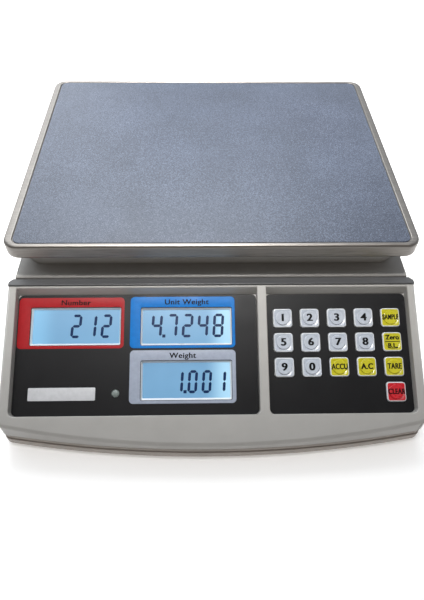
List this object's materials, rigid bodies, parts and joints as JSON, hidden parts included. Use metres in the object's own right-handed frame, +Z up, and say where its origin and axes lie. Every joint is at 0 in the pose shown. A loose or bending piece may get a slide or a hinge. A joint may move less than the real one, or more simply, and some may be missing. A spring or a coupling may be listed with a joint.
{
  "type": "counting scale",
  "caption": "Bench counting scale: flat steel platter with a textured mat over a plastic housing, with a sloped console of displays and a keypad in front.",
  "frame": {"origin": "on the bench, under the middle of the whole outline", "axes": "+X to the user's right, +Y from the console to the back, +Z up"},
  "size_m": [0.3026, 0.335, 0.11],
  "materials": {
    "housing_plastic": "fine satin texture",
    "base_plastic": "fine satin texture",
    "trim_plastic": "satin",
    "overlay_film": "fine matt film",
    "frame_plastic": "satin",
    "lcd_cell": "backlit, polished",
    "circuit_board": "solder mask",
    "lens_plastic": "polished",
    "silicone": "matt",
    "chassis_steel": "zinc plated",
    "cast_alloy": "as cast",
    "machined_alloy": "milled",
    "black_rubber": "matt",
    "platter_steel": "brushed",
    "mat_vinyl": "leather grain",
    "battery_case": "moulded",
    "transformer_iron": "varnished",
    "black_plastic": "moulded",
    "rocker_plastic": "moulded",
    "vial_acrylic": "polished",
    "zinc_steel": "zinc plated",
    "cable_jacket": "matt",
    "ribbon_jacket": "matt",
    "wire_jacket": "matt",
    "key_grey": "satin",
    "key_yellow": "satin",
    "key_red": "satin",
    "foot_screw": "black zinc plated"
  },
  "bodies": {
    "root": {"upper_housing": "housing_plastic", "lower_housing": "base_plastic", "trim_strip": "trim_plastic", "display_overlay": "overlay_film", "keypad_overlay": "overlay_film", "display_frame": "frame_plastic", "number_lcd": "lcd_cell", "unit_weight_lcd": "lcd_cell", "weight_lcd": "lcd_cell", "display_board": "circuit_board", "indicator_lens": "lens_plastic", "keypad_board": "circuit_board", "key_domes": "silicone", "main_board": "circuit_board", "chassis_plate": "chassis_steel", "load_cell_bracket": "cast_alloy", "load_cell": "machined_alloy", "battery": "battery_case", "battery_cover": "base_plastic", "transformer": "transformer_iron", "power_inlet": "black_plastic", "switch_body": "black_plastic", "level_vial": "vial_acrylic", "load_cell_bolts": "zinc_steel", "housing_screws": "zinc_steel", "overload_stops": "zinc_steel", "load_cell_cable": "cable_jacket", "board_ribbons": "ribbon_jacket", "power_wiring": "wire_jacket"},
    "support": {"platter_support": "cast_alloy", "support_pads": "black_rubber", "support_bolts": "zinc_steel"},
    "platter": {"platter": "platter_steel", "platter_mat": "mat_vinyl"},
    "rocker": {"switch_rocker": "rocker_plastic"},
    "key_1": {"key_1": "key_grey"},
    "key_2": {"key_2": "key_grey"},
    "key_3": {"key_3": "key_grey"},
    "key_4": {"key_4": "key_grey"},
    "key_sample": {"key_sample": "key_yellow"},
    "key_5": {"key_5": "key_grey"},
    "key_6": {"key_6": "key_grey"},
    "key_7": {"key_7": "key_grey"},
    "key_8": {"key_8": "key_grey"},
    "key_zero": {"key_zero": "key_yellow"},
    "key_9": {"key_9": "key_grey"},
    "key_0": {"key_0": "key_grey"},
    "key_accumulate": {"key_accumulate": "key_yellow"},
    "key_clear_total": {"key_clear_total": "key_yellow"},
    "key_tare": {"key_tare": "key_yellow"},
    "key_clear": {"key_clear": "key_red"},
    "foot_pad_front_left": {"foot_pad_front_left": "black_rubber"},
    "foot_screw_front_left": {"foot_screw_front_left": "foot_screw"},
    "foot_pad_front_right": {"foot_pad_front_right": "black_rubber"},
    "foot_screw_front_right": {"foot_screw_front_right": "foot_screw"},
    "foot_pad_rear_left": {"foot_pad_rear_left": "black_rubber"},
    "foot_screw_rear_left": {"foot_screw_rear_left": "foot_screw"},
    "foot_pad_rear_right": {"foot_pad_rear_right": "black_rubber"},
    "foot_screw_rear_right": {"foot_screw_rear_right": "foot_screw"}
  },
  "joints": [
    {"name": "load_deflection", "type": "slide", "parent": "root", "child": "support", "axis": [0, 0, 1], "range_m": [-0.0005, 0], "stiffness_N_per_m": 60000, "springref_m": 0.0004, "deforming": ["load_cell"]},
    {"name": "platter_lift", "type": "slide", "parent": "support", "child": "platter", "axis": [0, 0, 1], "range_m": [0, 0.06]},
    {"name": "key_1_press", "type": "slide", "parent": "root", "child": "key_1", "axis": [0, 0.4549, -0.8905], "range_m": [0, 0.0006], "stiffness_N_per_m": 1200, "springref_m": -0.0008},
    {"name": "key_2_press", "type": "slide", "parent": "root", "child": "key_2", "axis": [0, 0.4549, -0.8905], "range_m": [0, 0.0006], "stiffness_N_per_m": 1200, "springref_m": -0.0008},
    {"name": "key_3_press", "type": "slide", "parent": "root", "child": "key_3", "axis": [0, 0.4549, -0.8905], "range_m": [0, 0.0006], "stiffness_N_per_m": 1200, "springref_m": -0.0008},
    {"name": "key_4_press", "type": "slide", "parent": "root", "child": "key_4", "axis": [0, 0.4549, -0.8905], "range_m": [0, 0.0006], "stiffness_N_per_m": 1200, "springref_m": -0.0008},
    {"name": "key_sample_press", "type": "slide", "parent": "root", "child": "key_sample", "axis": [0, 0.4549, -0.8905], "range_m": [0, 0.0006], "stiffness_N_per_m": 1200, "springref_m": -0.0008},
    {"name": "key_5_press", "type": "slide", "parent": "root", "child": "key_5", "axis": [0, 0.4549, -0.8905], "range_m": [0, 0.0006], "stiffness_N_per_m": 1200, "springref_m": -0.0008},
    {"name": "key_6_press", "type": "slide", "parent": "root", "child": "key_6", "axis": [0, 0.4549, -0.8905], "range_m": [0, 0.0006], "stiffness_N_per_m": 1200, "springref_m": -0.0008},
    {"name": "key_7_press", "type": "slide", "parent": "root", "child": "key_7", "axis": [0, 0.4549, -0.8905], "range_m": [0, 0.0006], "stiffness_N_per_m": 1200, "springref_m": -0.0008},
    {"name": "key_8_press", "type": "slide", "parent": "root", "child": "key_8", "axis": [0, 0.4549, -0.8905], "range_m": [0, 0.0006], "stiffness_N_per_m": 1200, "springref_m": -0.0008},
    {"name": "key_zero_press", "type": "slide", "parent": "root", "child": "key_zero", "axis": [0, 0.4549, -0.8905], "range_m": [0, 0.0006], "stiffness_N_per_m": 1200, "springref_m": -0.0008},
    {"name": "key_9_press", "type": "slide", "parent": "root", "child": "key_9", "axis": [0, 0.4549, -0.8905], "range_m": [0, 0.0006], "stiffness_N_per_m": 1200, "springref_m": -0.0008},
    {"name": "key_0_press", "type": "slide", "parent": "root", "child": "key_0", "axis": [0, 0.4549, -0.8905], "range_m": [0, 0.0006], "stiffness_N_per_m": 1200, "springref_m": -0.0008},
    {"name": "key_accumulate_press", "type": "slide", "parent": "root", "child": "key_accumulate", "axis": [0, 0.4549, -0.8905], "range_m": [0, 0.0006], "stiffness_N_per_m": 1200, "springref_m": -0.0008},
    {"name": "key_clear_total_press", "type": "slide", "parent": "root", "child": "key_clear_total", "axis": [0, 0.4549, -0.8905], "range_m": [0, 0.0006], "stiffness_N_per_m": 1200, "springref_m": -0.0008},
    {"name": "key_tare_press", "type": "slide", "parent": "root", "child": "key_tare", "axis": [0, 0.4549, -0.8905], "range_m": [0, 0.0006], "stiffness_N_per_m": 1200, "springref_m": -0.0008},
    {"name": "key_clear_press", "type": "slide", "parent": "root", "child": "key_clear", "axis": [0, 0.4549, -0.8905], "range_m": [0, 0.0006], "stiffness_N_per_m": 1200, "springref_m": -0.0008},
    {"name": "power_switch", "type": "hinge", "parent": "root", "child": "rocker", "pos_m": [0.144, 0.02, 0.05974], "axis": [-0.0871, 0, 0.9962], "range_deg": [-16, 0]},
    {"name": "foot_front_left_travel", "type": "slide", "parent": "root", "child": "foot_pad_front_left", "axis": [0, 0, 1], "range_m": [-0.005, 0]},
    {"name": "foot_front_left_turn", "type": "hinge", "parent": "foot_pad_front_left", "child": "foot_screw_front_left", "pos_m": [-0.122, -0.118, 0.006], "axis": [0, 0, 1], "range_deg": [-1441, 0]},
    {"name": "foot_front_right_travel", "type": "slide", "parent": "root", "child": "foot_pad_front_right", "axis": [0, 0, 1], "range_m": [-0.005, 0]},
    {"name": "foot_front_right_turn", "type": "hinge", "parent": "foot_pad_front_right", "child": "foot_screw_front_right", "pos_m": [0.122, -0.118, 0.006], "axis": [0, 0, 1], "range_deg": [-1441, 0]},
    {"name": "foot_rear_left_travel", "type": "slide", "parent": "root", "child": "foot_pad_rear_left", "axis": [0, 0, 1], "range_m": [-0.005, 0]},
    {"name": "foot_rear_left_turn", "type": "hinge", "parent": "foot_pad_rear_left", "child": "foot_screw_rear_left", "pos_m": [-0.122, 0.136, 0.006], "axis": [0, 0, 1], "range_deg": [-1441, 0]},
    {"name": "foot_rear_right_travel", "type": "slide", "parent": "root", "child": "foot_pad_rear_right", "axis": [0, 0, 1], "range_m": [-0.005, 0]},
    {"name": "foot_rear_right_turn", "type": "hinge", "parent": "foot_pad_rear_right", "child": "foot_screw_rear_right", "pos_m": [0.122, 0.136, 0.006], "axis": [0, 0, 1], "range_deg": [-1441, 0]}
  ],
  "couplings": [
    {"joint": "foot_front_left_turn", "follows": "foot_front_left_travel", "rad_per_m": 5026.5},
    {"joint": "foot_front_right_turn", "follows": "foot_front_right_travel", "rad_per_m": 5026.5},
    {"joint": "foot_rear_left_turn", "follows": "foot_rear_left_travel", "rad_per_m": 5026.5},
    {"joint": "foot_rear_right_turn", "follows": "foot_rear_right_travel", "rad_per_m": 5026.5}
  ]
}
